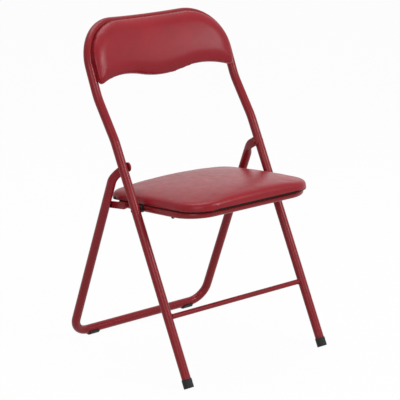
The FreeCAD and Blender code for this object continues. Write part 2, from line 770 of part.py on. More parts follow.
ring_drills = [across(seat_pivot, HOLE, number(SEAT_HALF) - 2 * seat_tube_radius, tube_inside, side)
               for _, side in SIDES]
screw_hole = size("screw_diameter") / 2 + size("running_fit")
for x, y in SCREW_PLACES:
    low = in_seat(x, y, -2 * seat_tube_radius)
    ring_drills.append(Part.makeCylinder(screw_hole, 4 * seat_tube_radius, low, seat_up))
node("seat_frame_tube", cut("seat_ring_drilled", ring_body,
                            shaped("seat_ring_drills", Part.makeCompound(ring_drills))))

board_body = doc.addObject("PartDesign::Body", "seat_board_body")
board_sketch = sketch_on(board_body, "seat_board_outline", "XY_Plane")
rounded_outline(board_sketch, PAD_HALF + " - dims.board_inset", PAD_FRONT + " - dims.board_inset",
                PAD_REAR + " - dims.board_inset", "dims.pad_front_radius - dims.board_inset",
                "dims.pad_rear_radius - dims.board_inset")
padded(board_body, board_sketch, "dims.board_thickness")
board_body.Placement = seat_frame * FreeCAD.Placement(V(0, 0, board_low), FreeCAD.Rotation())
pilots = [Part.makeCylinder(screw_hole, size("screw_bite") + gap, in_seat(x, y, board_low), seat_up)
          for x, y in SCREW_PLACES]
node("seat_board", cut("seat_board_drilled", board_body,
                       shaped("seat_board_pilots", Part.makeCompound(pilots))))

pad_body = doc.addObject("PartDesign::Body", "seat_pad_body")
pad_sketch = sketch_on(pad_body, "seat_pad_outline", "XY_Plane")
rounded_outline(pad_sketch, PAD_HALF, PAD_FRONT, PAD_REAR, "dims.pad_front_radius", "dims.pad_rear_radius")
padded(pad_body, pad_sketch, "dims.pad_height")
pad_body.Placement = seat_frame * FreeCAD.Placement(V(0, 0, board_low), FreeCAD.Rotation())
pad_middle = (number(PAD_REAR) - number(PAD_FRONT)) / 2
pad_top = board_low + size("pad_height")
crown = doc.addObject("Part::Sphere", "seat_pad_crown")
crown.setExpression("Radius", PAD_BALL)
crown.Placement = FreeCAD.Placement(in_seat(0, pad_middle, pad_top - number(PAD_BALL)), seat_frame.Rotation)
crowned = common("seat_pad_crowned", pad_body, crown)


def seat_height(edge):
    """Height of an edge's middle above the rails' centre plane."""
    return (edge.CenterOfMass - seat_pivot).dot(seat_up)


def around_seat(edge):
    """True for edges that run round the pad, not up its corners."""
    first = edge.valueAt(edge.FirstParameter)
    last = edge.valueAt(edge.LastParameter)
    return abs((last - first).dot(seat_up)) < 0.9 * edge.Length


pad_round = rounded("seat_pad_round", crowned, "pad_top_round",
                    lambda edge: around_seat(edge) and seat_height(edge) > board_low + 1.0)
pad_tucked = rounded("seat_pad_tucked", pad_round, "pad_tuck",
                     lambda edge: abs(seat_height(edge) - board_low) < 0.01)
# the pad wraps the board's edge: the board lies in a pocket in its underside
pocket_body = doc.addObject("PartDesign::Body", "seat_pad_pocket")
pocket_sketch = sketch_on(pocket_body, "seat_pocket_outline", "XY_Plane")
EDGE_WRAP = " - dims.board_inset + dims.side_gap"
rounded_outline(pocket_sketch, PAD_HALF + EDGE_WRAP, PAD_FRONT + EDGE_WRAP, PAD_REAR + EDGE_WRAP,
                "dims.pad_front_radius" + EDGE_WRAP, "dims.pad_rear_radius" + EDGE_WRAP)
padded(pocket_body, pocket_sketch, "2 * dims.board_thickness")
pocket_body.Placement = seat_frame * FreeCAD.Placement(
    V(0, 0, board_low - size("board_thickness")), FreeCAD.Rotation())
node("seat_pad", cut("seat_pad_pocketed", pad_tucked, pocket_body))


def screw(name, tip, direction, length):
    """A pan-head screw; length is measured under its head."""
    shank = cylinder(name + "_shank", "dims.screw_diameter / 2", length, tip, direction * -1)
    under = tip - direction * number(length)
    head = cone(name + "_head", "dims.screw_head_diameter / 2", "dims.screw_diameter / 2",
                "dims.screw_head_height", under, direction * -1)
    return fuse(name, [shank, head])


screw_top = board_low + size("screw_bite")
seat_screws = [screw(f"seat_screw_{index}", in_seat(x, y, screw_top), seat_up, screw_length)
               for index, (x, y) in enumerate(SCREW_PLACES)]
node("seat_screws", group("seat_screw_group", seat_screws))


# back

rail_points = []
ARC_SAMPLES = 12
for step in range(ARC_SAMPLES + 1):
    # how far the dished tube's front stands out at places round the top corner
    turn = math.pi / 2 * step / ARC_SAMPLES
    dish = math.radians(size("rail_dish_angle"))
    x = half_width - size("top_corner_radius") * math.cos(dish) * (1 - math.cos(turn))
    behind = size("top_corner_radius") * math.sin(dish) * (1 - math.cos(turn))
    rail_points.append((x, tube_radius - behind))


def board_dip(x):
    """How far the dished board's hollow falls short of its edges' depth at a distance across."""
    radius = size("back_board_radius")
    return radius - math.sqrt(radius ** 2 - x ** 2)


board_back = max(front - board_dip(x) for x, front in rail_points) + gap
board_front = board_back + size("back_board_thickness")
hollow_radius = size("back_board_radius") - size("back_board_thickness")


def back_outline(inset):
    """The back's outline: follows the tube loop, with a wavy lower edge of two arches and a lobe."""
    width = half_width - size("back_edge_inset") - inset
    top = size("back_rise") - size("back_edge_inset") - inset
    corner = size("top_corner_radius") - size("back_edge_inset") - inset
    low_round = size("back_corner_round") - inset
    arch = size("arch_radius") + inset
    arch_x = size("arch_offset")
    arch_y = size("arch_height") - size("arch_radius")
    both = (arch_x ** 2 + size("arch_drop") ** 2) / (2 * size("arch_drop"))
    lobe = both - arch
    lobe_y = size("arch_height") - size("arch_drop") + both - size("arch_radius")
    round_x = width - low_round
    round_y = arch_y + math.sqrt((arch + low_round) ** 2 - (round_x - arch_x) ** 2)
    diagonal = math.sqrt(0.5)

    def on_circle(cx, cy, radius, px, py):
        """Point of a circle in the direction of another point."""
        reach = math.hypot(px - cx, py - cy)
        return V(cx + (px - cx) * radius / reach, cy + (py - cy) * radius / reach, 0)

    arch_end = on_circle(arch_x, arch_y, arch, round_x, round_y)
    arch_start = on_circle(arch_x, arch_y, arch, 0, lobe_y)
    arch_peak = V(arch_x, arch_y + arch, 0)
    corner_x = width - corner
    corner_y = top - corner
    round_middle = on_circle(round_x, round_y, low_round, round_x + 1, round_y - 2)

    def mirrored(point):
        return V(-point.x, point.y, 0)

    right = (
        (V(width, corner_y, 0), V(corner_x + corner * diagonal, corner_y + corner * diagonal, 0),
         V(corner_x, top, 0)),
        (arch_end, round_middle, V(width, round_y, 0)),
        (arch_start, arch_peak, arch_end),
    )
    edges = [Part.Arc(*points).toShape() for points in right]
    edges += [Part.Arc(*[mirrored(point) for point in points]).toShape() for points in right]
    edges.append(Part.Arc(mirrored(arch_start), V(0, lobe_y - lobe, 0), arch_start).toShape())
    edges.append(Part.LineSegment(V(corner_x, top, 0), V(-corner_x, top, 0)).toShape())
    for sign in (-1, 1):
        edges.append(Part.LineSegment(V(sign * width, round_y, 0), V(sign * width, corner_y, 0)).toShape())
    return Part.Face(Part.Wire(Part.__sortEdges__(edges)))


def back_block(name, inset, low, high):
    """A straight block of the back's outline, between two distances in front of the tubes."""
    face = back_outline(inset)
    face.translate(V(0, 0, low))
    return shaped(name, face.extrude(V(0, 0, high - low)), back_frame)


def back_drum(name, radius):
    """A drum along the back; the hollow of the board and the pad are parts of its side."""
    axis_front = board_back + size("back_board_radius")
    base = back_frame.multVec(V(0, -size("back_rise"), axis_front))
    return cylinder(name, radius, "3 * dims.back_rise", base, back_up)


block_depth = (board_dip(half_width) + size("back_board_thickness") + size("back_pad_thickness")
               + size("tube_diameter"))
board_block = back_block("back_board_block", size("back_board_inset"), board_back - tube_radius,
                         board_back + block_depth)
board_shell = common("back_board_bent", board_block, back_drum("back_board_drum", "dims.back_board_radius"))
board_curved = cut("back_board_hollowed", board_shell,
                   back_drum("back_board_hollow", "dims.back_board_radius - dims.back_board_thickness"))

pad_block = back_block("back_pad_block", 0.0, board_back - tube_radius, board_back + block_depth)
pad_bent = common("back_pad_bent", pad_block,
                  back_drum("back_pad_drum", "dims.back_board_radius - dims.back_board_thickness"))
pad_hollow = size("back_hollow_radius")
swell_centre = V(0, (size("arch_height") + size("back_rise")) / 2,
                 board_front + size("back_pad_thickness") + pad_hollow)
swell_place = FreeCAD.Placement(back_frame.multVec(swell_centre), FreeCAD.Rotation(Z_AXIS, back_up))
crown_radius = size("back_crown_radius")
swell = shaped("back_pad_swell", Part.makeTorus(pad_hollow + crown_radius, crown_radius), swell_place)
pad_swollen = common("back_pad_swollen", pad_bent, swell)


def drum_depth(point):
    """Distance of a point from the axis of the back's curvature."""
    local = back_frame.inverse().multVec(point)
    return math.hypot(local.x, local.z - board_back - size("back_board_radius"))


def on_pad_front(edge):
    """True for edges where the pad's front meets its sides."""
    middle = edge.valueAt((edge.FirstParameter + edge.LastParameter) / 2)
    first = edge.valueAt(edge.FirstParameter)
    last = edge.valueAt(edge.LastParameter)
    return all(drum_depth(point) < hollow_radius - 1.0 for point in (first, middle, last))


node("back_pad", rounded("back_pad_round", pad_swollen, "back_pad_round", on_pad_front))

LUG_PLACES = [(side, height) for _, side in SIDES for height in (size("lug_low"), size("lug_high"))]


def lug_frame(side, height):
    """Where a lug lies flat on the board's back, its outer end in the tube."""
    middle = half_width - size("lug_reach") / 2
    slope = math.asin(middle / size("back_board_radius"))
    local = FreeCAD.Placement(V(side * middle, height, board_back + board_dip(middle) - gap),
                              FreeCAD.Rotation(V(0, 1, 0), -side * math.degrees(slope)))
    return back_frame * local


loop_rod = shaped("loop_rod", rod_along(front_frame_edges(), tube_radius + size("running_fit")))
lugs = []
back_screws = []
board_pilots = []
for index, (side, height) in enumerate(LUG_PLACES):
    frame = lug_frame(side, height)
    plate = doc.addObject("Part::Box", f"lug_plate_{index}")
    plate.setExpression("Length", "dims.lug_reach")
    plate.setExpression("Width", "dims.lug_width")
    plate.setExpression("Height", "dims.lug_thickness")
    plate.Placement = frame * FreeCAD.Placement(
        V(-size("lug_reach") / 2, -size("lug_width") / 2, -size("lug_thickness")), FreeCAD.Rotation())
    inner = -side * size("lug_reach") / 4
    inward = frame.Rotation.multVec(Z_AXIS)
    hole = Part.makeCylinder(screw_hole, 2 * size("lug_thickness"),
                             frame.multVec(V(inner, 0, -1.5 * size("lug_thickness"))), inward)
    drilled = cut(f"lug_drilled_{index}", plate, shaped(f"lug_hole_{index}", hole))
    lugs.append(cut(f"lug_coped_{index}", drilled, loop_rod))
    tip = frame.multVec(V(inner, 0, gap + size("screw_bite")))
    back_screws.append(screw(f"back_screw_{index}", tip, inward,
                             "(dims.lug_thickness + dims.screw_bite + 2 * dims.side_gap)"))
    board_pilots.append(Part.makeCylinder(screw_hole, 2 * size("screw_bite"),
                                          tip + inward * (gap - 2 * size("screw_bite")), inward))
node("back_lugs", group("lug_group", lugs))
node("back_screws", group("back_screw_group", back_screws))
node("back_board", cut("back_board_drilled", board_curved,
                       shaped("back_board_pilots", Part.makeCompound(board_pilots))))

doc.recompute()
for item in doc.Objects:
    if {"Invalid", "Error"} & set(item.State):
        raise RuntimeError(f"{item.Name} failed: {item.State}")
for name, item in nodes.items():
    if item.Shape.isNull() or not item.Shape.isValid():
        raise RuntimeError(f"{name} has no valid shape")

os.makedirs("parts", exist_ok=True)
for name, item in nodes.items():
    item.Shape.exportStep(os.path.join("parts", name + ".step"))
print(f"{len(nodes)} sub-parts, link {link_length:.3f} long, {rail_pin_reach:.3f} behind the seat pivot")
PLACES = (("pivot", pivot), ("seat pivot", seat_pivot), ("leg pin", leg_pin), ("rail pin", rail_pin))
for title, place in PLACES:
    print(f"{title} at y {place.y:.4f}, z {place.z:.4f}")
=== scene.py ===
import json
import math

import bmesh
import bpy
from bpy.props import FloatProperty, FloatVectorProperty, IntProperty, PointerProperty
from mathutils import Matrix, Vector, kdtree


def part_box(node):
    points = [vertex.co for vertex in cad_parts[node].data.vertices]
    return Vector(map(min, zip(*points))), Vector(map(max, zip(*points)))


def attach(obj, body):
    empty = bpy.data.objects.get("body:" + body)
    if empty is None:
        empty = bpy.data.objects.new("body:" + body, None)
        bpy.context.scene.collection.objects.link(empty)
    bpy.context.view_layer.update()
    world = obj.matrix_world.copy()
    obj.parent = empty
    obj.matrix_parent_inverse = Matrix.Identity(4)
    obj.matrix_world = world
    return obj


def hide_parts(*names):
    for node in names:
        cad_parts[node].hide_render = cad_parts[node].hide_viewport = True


bl_info = {
    "name": "Padded Folding Chair",
    "version": (1, 0, 0),
    "blender": (4, 5, 0),
    "location": "View3D > Sidebar > Chair",
    "description": "Upholstery, finishes and studio for a steel folding chair",
    "category": "Object",
}

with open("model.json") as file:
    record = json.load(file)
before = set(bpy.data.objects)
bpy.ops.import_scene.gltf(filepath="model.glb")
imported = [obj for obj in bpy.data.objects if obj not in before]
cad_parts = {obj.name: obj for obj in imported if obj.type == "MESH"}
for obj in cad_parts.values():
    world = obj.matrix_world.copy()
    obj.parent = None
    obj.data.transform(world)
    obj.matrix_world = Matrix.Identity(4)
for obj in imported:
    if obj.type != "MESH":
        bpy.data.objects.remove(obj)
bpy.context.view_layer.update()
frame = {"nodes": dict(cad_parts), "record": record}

JOINTS = {joint["name"]: joint for joint in frame["record"]["behaviour"]["joints"]}
SEAT_PIVOT = Vector(JOINTS["seat_fold"]["pos_m"])
SEAT_TILT = math.radians(4.6)
SEAT_FRAME = Matrix.Translation(SEAT_PIVOT) @ Matrix.Rotation(-SEAT_TILT, 4, "X")
BACK_LEAN = math.radians(23.0)
BACK_FOOT = Vector((0.0, 0.10028, 0.613))
BACK_FRAME = Matrix.Translation(BACK_FOOT) @ Matrix.Rotation(math.radians(90) - BACK_LEAN, 4, "X")
BACK_DISH_RADIUS = 0.995
LEG_OUT = 0.208
LEG_RADIUS = 0.0105
LEG_LEAN = math.radians(26.5)
WELD_WAVES = 26.0
SEAT_BOARD_THICKNESS = 0.006
SEAT_OUTLINE_KEPT = 0.3
WALL_FACING = 0.35
FLOOR_HALF = 12.0
FLOOR_GLOW = 0.96

RED_NODES = ("front_frame_tube", "front_brace", "rear_frame_tube", "seat_frame_tube", "link_left", "link_right",
             "back_lugs", "pivot_rivet_left", "pivot_rivet_right", "seat_rivet_left", "seat_rivet_right",
             "link_pin_left", "link_pin_right", "link_rivet_left", "link_rivet_right", "pivot_washer_left",
             "pivot_washer_right")
RUBBER_NODES = ("foot_cap_left", "foot_cap_right", "rear_glide_left", "rear_glide_right")
NYLON_NODES = ("seat_bush_left", "seat_bush_right", "link_spacer_left", "link_spacer_right")
ZINC_NODES = ("seat_screws", "back_screws")


class ChairSizes(bpy.types.PropertyGroup):
    """Sizes of the upholstery and the weld beads."""

    foam_voxel: FloatProperty(name="Foam voxel", description="Mesh size of the stuffed pads",
                              default=0.004, min=0.002, unit="LENGTH")
    seat_shrink: FloatProperty(name="Seat shrink", description="How much smaller the seat foam starts",
                               default=0.0005, unit="LENGTH")
    seat_puff: FloatProperty(name="Seat puff", description="Most that the seat foam may swell",
                             default=0.004, unit="LENGTH")
    seat_crown: FloatProperty(name="Seat crown", description="Extra fullness along the middle of the seat",
                              default=0.0045, unit="LENGTH")
    seat_side_drop: FloatProperty(name="Seat side drop", description="How far the seat's sides are pulled down",
                                  default=0.003, unit="LENGTH")
    back_puff: FloatProperty(name="Back puff", description="Most that the back foam may swell",
                             default=0.002, unit="LENGTH")
    puff_frames: IntProperty(name="Puff steps", description="Steps of the stuffing simulation", default=16, min=2)
    back_roll: FloatProperty(name="Back roll", default=0.4, min=0, max=0.9,
                             description="Share of its thickness that the back pad loses at its edge")
    back_roll_width: FloatProperty(name="Back roll width", description="Width of the rolled edge of the back pad",
                                   default=0.030, min=0.001, unit="LENGTH")
    seat_pressure: FloatProperty(name="Seat pressure", description="Pressure inside the seat's cover", default=1.2)
    back_pressure: FloatProperty(name="Back pressure", description="Pressure inside the back's cover", default=0.3)
    weld_bead: FloatProperty(name="Weld bead", description="Radius of the weld bead round the brace's ends",
                             default=0.0016, unit="LENGTH")
    weld_ripple: FloatProperty(name="Weld ripple", description="How uneven the weld bead is", default=0.18)
    seat_soften: IntProperty(name="Seat softening", description="Smoothing passes on the seat foam", default=9)
    back_soften: IntProperty(name="Back softening", description="Smoothing passes on the back foam", default=12)
    calming: IntProperty(name="Calming", description="Smoothing passes after the stuffing", default=5)


class ChairColours(bpy.types.PropertyGroup):
    """Colours of the chair's finishes."""

    vinyl: FloatVectorProperty(name="Vinyl", description="Seat and back cover", subtype="COLOR",
                               default=(0.240, 0.010, 0.017), min=0, max=1)
    paint: FloatVectorProperty(name="Powder coat", description="Tubes, links and rivets", subtype="COLOR",
                               default=(0.212, 0.010, 0.015), min=0, max=1)
    rubber: FloatVectorProperty(name="Feet", description="Caps and glides", subtype="COLOR",
                                default=(0.009, 0.010, 0.010), min=0, max=1)
    nylon: FloatVectorProperty(name="Bushes", description="Bushes and spacers", subtype="COLOR",
                               default=(0.008, 0.007, 0.007), min=0, max=1)
    zinc: FloatVectorProperty(name="Zinc", description="Screws", subtype="COLOR",
                              default=(0.10, 0.095, 0.09), min=0, max=1)
    board: FloatVectorProperty(name="Hardboard", description="Board under the seat", subtype="COLOR",
                               default=(0.115, 0.052, 0.027), min=0, max=1)


class ChairStage(bpy.types.PropertyGroup):
    """Camera, lamps and floor."""

    azimuth: FloatProperty(name="Azimuth", description="Camera's turn round the chair", subtype="ANGLE",
                           default=math.radians(-40.53))
    elevation: FloatProperty(name="Elevation", description="Camera's height angle", subtype="ANGLE",
                             default=math.radians(15.285))
    distance: FloatProperty(name="Distance", description="Camera to aim point", default=3.9, unit="LENGTH")
    aim: FloatVectorProperty(name="Aim", description="Point in the middle of the picture", subtype="TRANSLATION",
                             default=(0.0, -0.0147, 0.3592))
    lens: FloatProperty(name="Lens", description="Focal length in millimetres", default=149.75)
    key_power: FloatProperty(name="Key lamp", description="Power of the key lamp in watts", default=47.0)
    fill_power: FloatProperty(name="Fill lamp", description="Power of the fill lamp in watts", default=30.0)
    top_power: FloatProperty(name="Top lamp", description="Power of the lamp overhead in watts", default=40.0)
    sky: FloatProperty(name="Sky", description="Strength of the even light all round", default=0.37)


def sizes():
    return bpy.context.scene.chair_sizes


def colours():
    return bpy.context.scene.chair_colours


# finishes

class NodeSheet:
    """Lays out one material's nodes; patterns read Object coordinates."""

    def __init__(self, name):
        self.material = bpy.data.materials.new(name)
        self.material.use_nodes = True
        self.nodes = self.material.node_tree.nodes
        self.links = self.material.node_tree.links
        self.shader = self.nodes["Principled BSDF"]
        self.place = self.nodes.new("ShaderNodeTexCoord").outputs["Object"]

    def add(self, kind, **inputs):
        """A node whose named inputs are values or other nodes' outputs."""
        made = self.nodes.new(kind)
        for key, value in inputs.items():
            socket = made.inputs[key.replace("_", " ")]
            if isinstance(value, bpy.types.NodeSocket):
                self.links.new(value, socket)
            else:
                socket.default_value = value
        return made

    def noise(self, scale, detail=3.0, roughness=0.5):
        made = self.add("ShaderNodeTexNoise", Vector=self.place, Scale=scale, Detail=detail, Roughness=roughness)
        return made.outputs["Fac"]

    def spread(self, value, low, high, to_low, to_high):
        """Maps a value from one range to another, clamped."""
        made = self.add("ShaderNodeMapRange", Value=value)
        for key, number in (("From Min", low), ("From Max", high), ("To Min", to_low), ("To Max", to_high)):
            made.inputs[key].default_value = number
        return made.outputs["Result"]

    def reckon(self, operation, first, second=0.0):
        """One step of arithmetic on two values."""
        made = self.nodes.new("ShaderNodeMath")
        made.operation = operation
        for socket, value in zip(made.inputs, (first, second)):
            if isinstance(value, bpy.types.NodeSocket):
                self.links.new(value, socket)
            else:
                socket.default_value = value
        return made.outputs[0]

    def shades(self, value, stops):
        """A colour ramp with (position, colour) stops."""
        made = self.add("ShaderNodeValToRGB", Fac=value)
        ramp = made.color_ramp
        while len(ramp.elements) < len(stops):
            ramp.elements.new(1.0)
        for element, (position, colour) in zip(ramp.elements, stops):
            element.position = position
            element.color = (*colour, 1.0)
        return made.outputs["Color"]

    def bumped(self, heights):
        """Joins (height, strength, distance) bumps into one normal."""
        normal = None
        for height, strength, distance in heights:
            made = self.add("ShaderNodeBump", Height=height, Strength=strength, Distance=distance)
            if normal is not None:
                self.links.new(normal, made.inputs["Normal"])
            normal = made.outputs["Normal"]
        self.links.new(normal, self.shader.inputs["Normal"])

    def feed(self, socket, value):
        if isinstance(value, bpy.types.NodeSocket):
            self.links.new(value, self.shader.inputs[socket])
        else:
            self.shader.inputs[socket].default_value = value


def tinted(colour, share):
    return tuple(min(1.0, part * share) for part in colour)


def vinyl_finish():
    """Grained red upholstery vinyl: pebbled grain, faint cloudiness and a broad satin shine."""
    sheet = NodeSheet("red_vinyl")
    red = tuple(colours().vinyl)
    cloud = sheet.noise(16.0, 4.0)
    sheet.feed("Base Color", sheet.shades(cloud, ((0.30, tinted(red, 0.93)), (0.70, tinted(red, 1.07)))))
    pebble = sheet.add("ShaderNodeTexVoronoi", Vector=sheet.place, Scale=620.0)
    pebble.feature = "SMOOTH_F1"
    fine = sheet.noise(1500.0, 2.0)
    sheet.feed("Roughness", sheet.spread(sheet.noise(60.0, 3.0), 0.3, 0.7, 0.29, 0.36))
    sheet.bumped(((pebble.outputs["Distance"], 0.20, 0.0006), (fine, 0.10, 0.0003)))
    sheet.feed("Specular IOR Level", 0.20)
    return sheet.material


def powder_coat_finish():
    """Red gloss powder coat with its faint orange peel."""
    sheet = NodeSheet("red_powder_coat")
    red = tuple(colours().paint)
    tone = sheet.noise(12.0, 2.0)
    sheet.feed("Base Color", sheet.shades(tone, ((0.3, tinted(red, 0.95)), (0.7, tinted(red, 1.05)))))
    sheet.feed("Roughness", sheet.spread(sheet.noise(40.0, 2.0), 0.3, 0.7, 0.25, 0.31))
    sheet.bumped(((sheet.noise(260.0, 2.0), 0.03, 0.0003),))
    sheet.feed("Specular IOR Level", 0.19)
    return sheet.material


def rubber_finish():
    """Black moulded feet, scuffed a little."""
    sheet = NodeSheet("black_rubber")
    black = tuple(colours().rubber)
    scuff = sheet.noise(90.0, 5.0, 0.65)
    sheet.feed("Base Color", sheet.shades(scuff, ((0.35, black), (0.75, tinted(black, 1.7)))))
    sheet.feed("Roughness", sheet.spread(scuff, 0.3, 0.7, 0.42, 0.62))
    sheet.feed("Specular IOR Level", 0.22)
    sheet.bumped(((sheet.noise(700.0, 2.0), 0.15, 0.0004),))
    return sheet.material


def nylon_finish():
    """Black nylon bushes and spacers."""
    sheet = NodeSheet("black_nylon")
    black = tuple(colours().nylon)
    mottle = sheet.noise(120.0, 3.0)
    sheet.feed("Base Color", sheet.shades(mottle, ((0.3, black), (0.7, tinted(black, 1.5)))))
    sheet.feed("Roughness", sheet.spread(mottle, 0.3, 0.7, 0.38, 0.50))
    sheet.feed("Specular IOR Level", 0.20)
    sheet.bumped(((sheet.noise(900.0, 2.0), 0.08, 0.0003),))
    return sheet.material


def zinc_finish():
    """Dark zinc plating on the screws."""
    sheet = NodeSheet("zinc_plate")
    grey = tuple(colours().zinc)
    cloud = sheet.noise(240.0, 4.0)
    sheet.feed("Base Color", sheet.shades(cloud, ((0.3, tinted(grey, 0.8)), (0.7, tinted(grey, 1.1)))))
    sheet.feed("Metallic", 1.0)
    sheet.feed("Roughness", sheet.spread(cloud, 0.3, 0.7, 0.28, 0.42))
    sheet.bumped(((sheet.noise(1600.0, 2.0), 0.05, 0.0002),))
    return sheet.material


def hardboard_finish():
    """Brown pressed board with painted shade on its edge, near black for the shadowed crease under the pad, and
    the cover's red hem turned under and glued down all round.
    """
    sheet = NodeSheet("hardboard")
    brown = tuple(colours().board)
    red = tuple(colours().vinyl)
    inverse = SEAT_FRAME.inverted()
    local = [inverse @ vert.co for vert in frame["nodes"]["seat_board"].data.vertices]
    half = max(abs(point.x) for point in local)
    front, rear = min(point.y for point in local), max(point.y for point in local)
    flat = sheet.add("ShaderNodeMapping", Vector=sheet.place, Location=inverse.translation,
                     Rotation=inverse.to_euler())
    parts = sheet.add("ShaderNodeSeparateXYZ", Vector=flat.outputs["Vector"])
    across = sheet.reckon("DIVIDE", sheet.reckon("ABSOLUTE", parts.outputs["X"]), half)
    along = sheet.reckon("SUBTRACT", parts.outputs["Y"], (front + rear) / 2)
    along = sheet.reckon("DIVIDE", sheet.reckon("ABSOLUTE", along), (rear - front) / 2)
    cut = sheet.spread(sheet.noise(24.0, 2.0), 0.3, 0.7, -0.012, 0.012)
    outer = sheet.reckon("ADD", sheet.reckon("MAXIMUM", across, along), cut)
    hem = sheet.spread(outer, 0.850, 0.856, 0.0, 1.0)
    facing = sheet.add("ShaderNodeVectorMath")
    facing.operation = "DOT_PRODUCT"
    sheet.links.new(sheet.nodes["Texture Coordinate"].outputs["Normal"], facing.inputs[0])
    facing.inputs[1].default_value = SEAT_FRAME.to_3x3() @ Vector((0.0, 0.0, -1.0))
    under = sheet.spread(facing.outputs["Value"], 0.5, 0.6, 0.0, 1.0)
    fibre = sheet.add("ShaderNodeTexNoise", Vector=sheet.place, Scale=180.0, Detail=6.0, Roughness=0.7,
                      Distortion=1.2)
    tone = fibre.outputs["Fac"]
    board = sheet.shades(tone, ((0.30, tinted(brown, 0.6)), (0.55, brown), (0.75, tinted(brown, 1.5))))
    cover = sheet.shades(sheet.noise(60.0, 3.0), ((0.30, tinted(red, 0.75)), (0.70, tinted(red, 0.95))))
    # painted shade: every face but the underside is near black, standing in for the shadow in the crease between
    # the pad and the seat ring
    painted_edge_shade = sheet.shades(tone, ((0.30, tinted(brown, 0.08)), (0.70, tinted(brown, 0.16))))
    below = sheet.add("ShaderNodeMixRGB", Fac=hem, Color1=board, Color2=cover)
    whole = sheet.add("ShaderNodeMixRGB", Fac=under, Color1=painted_edge_shade, Color2=below.outputs[0])
    sheet.feed("Base Color", whole.outputs[0])
    sheet.feed("Roughness", sheet.spread(tone, 0.3, 0.7, 0.62, 0.80))
    sheet.feed("Specular IOR Level", 0.12)
    sheet.bumped(((tone, 0.25, 0.0005), (hem, 0.6, 0.0008)))
    return sheet.material


FINISHES = {
    "vinyl": vinyl_finish,
    "powder_coat": powder_coat_finish,
    "rubber": rubber_finish,
    "nylon": nylon_finish,
    "zinc": zinc_finish,
    "hardboard": hardboard_finish,
}
made_finishes = {}


def finish_of(name):
    """The finish of that name, made once."""
    if name not in made_finishes:
        made_finishes[name] = FINISHES[name]()
    return made_finishes[name]


def coat(piece, name):
    """Gives a whole piece one finish."""
    piece.data.materials.clear()
    piece.data.materials.append(finish_of(name))


# modelling

def piece_from(bm, name, matrix=None):
    """Makes an object of a bmesh, with its place in its mesh."""
    if matrix is not None:
        bmesh.ops.transform(bm, matrix=matrix, verts=bm.verts)
    mesh = bpy.data.meshes.new(name)
    bm.to_mesh(mesh)
    bm.free()
    mesh.shade_smooth()
    piece = bpy.data.objects.new(name, mesh)
    bpy.context.scene.collection.objects.link(piece)
    return piece


def replace_mesh_with_modified(piece):
    """Keeps what the modifiers make of a piece as its mesh, and takes them off."""
    graph = bpy.context.evaluated_depsgraph_get()
    made = bpy.data.meshes.new_from_object(piece.evaluated_get(graph))
    piece.modifiers.clear()
    old = piece.data
    piece.data = made
    bpy.data.meshes.remove(old)


def foam_form(name, node, voxel, matrix, in_pocket=None):
    """A closed, evenly meshed copy of a soft CAD solid, with its board's pocket closed."""
    bm = bmesh.new()
    bm.from_mesh(frame["nodes"][node].data)
    bmesh.ops.remove_doubles(bm, verts=bm.verts, dist=1e-5)
    if in_pocket is not None:
        inner = [face for face in bm.faces if in_pocket(face)]
        bmesh.ops.delete(bm, geom=inner, context="FACES")
        rim = [edge for edge in bm.edges if edge.is_boundary]
        bmesh.ops.holes_fill(bm, edges=rim)
    bmesh.ops.recalc_face_normals(bm, faces=bm.faces)
    piece = piece_from(bm, name, matrix.inverted())
    remesh = piece.modifiers.new("even_mesh", "REMESH")
    remesh.mode = "VOXEL"
    remesh.voxel_size = voxel
    replace_mesh_with_modified(piece)
    piece.data.transform(matrix)
    return piece


def soften_foam(piece, passes, held, settle, shrink=0.0, keep=0.0):
    """Smooths a foam form, puts its underside back on the board and draws the free skin inwards."""
    bm = bmesh.new()
    bm.from_mesh(piece.data)
    resting = [vert for vert in bm.verts if held(vert.co)]
    outlines = [vert.co.copy() for vert in resting]
    for _ in range(passes):
        bmesh.ops.smooth_vert(bm, verts=bm.verts, factor=0.5, use_axis_x=True, use_axis_y=True, use_axis_z=True)
        for vert, outline in zip(resting, outlines):
            vert.co = settle(vert.co.lerp(outline, keep))
    bm.normal_update()
    still = set(resting)
    moves = [(vert, vert.normal * -shrink) for vert in bm.verts if vert not in still]
    for vert, move in moves:
        vert.co += move
    bm.to_mesh(piece.data)
    bm.free()


def stuff_foam(piece, held, cap, pressure):
    """Blows the cover up with the cloth solver, holds the skin on the board, and caps each point's move."""
    group = piece.vertex_groups.new(name="held")
    group.add([vert.index for vert in piece.data.vertices if held(vert.co)], 1.0, "REPLACE")
    rest = [vert.co.copy() for vert in piece.data.vertices]
    cloth = piece.modifiers.new("stuffing", "CLOTH")
    setting = cloth.settings
    setting.quality = 5
    setting.mass = 0.3
    setting.tension_stiffness = 60.0
    setting.compression_stiffness = 60.0
    setting.shear_stiffness = 30.0
    setting.bending_stiffness = 8.0
    setting.use_pressure = True
    setting.uniform_pressure_force = pressure
    setting.vertex_group_mass = "held"
    setting.effector_weights.gravity = 0.0
    cloth.collision_settings.use_collision = False
    scene = bpy.context.scene
    first = scene.frame_start
    for step in range(sizes().puff_frames):
        scene.frame_set(first + step)
    graph = bpy.context.evaluated_depsgraph_get()
    swollen = [vert.co.copy() for vert in piece.evaluated_get(graph).data.vertices]
    piece.modifiers.clear()
    piece.vertex_groups.clear()
    scene.frame_set(first)
    for vert, start, end in zip(piece.data.vertices, rest, swollen):
        move = end - start
        vert.co = start + move * min(1.0, cap / max(move.length, 1e-9))


def calm_foam(piece, passes, held):
    """Smooths the wrinkles that the solver leaves in a stuffed skin."""
    bm = bmesh.new()
    bm.from_mesh(piece.data)
    free = [vert for vert in bm.verts if not held(vert.co)]
    for _ in range(passes):
        bmesh.ops.smooth_vert(bm, verts=free, factor=0.5, use_axis_x=True, use_axis_y=True, use_axis_z=True)
    bm.to_mesh(piece.data)
    bm.free()


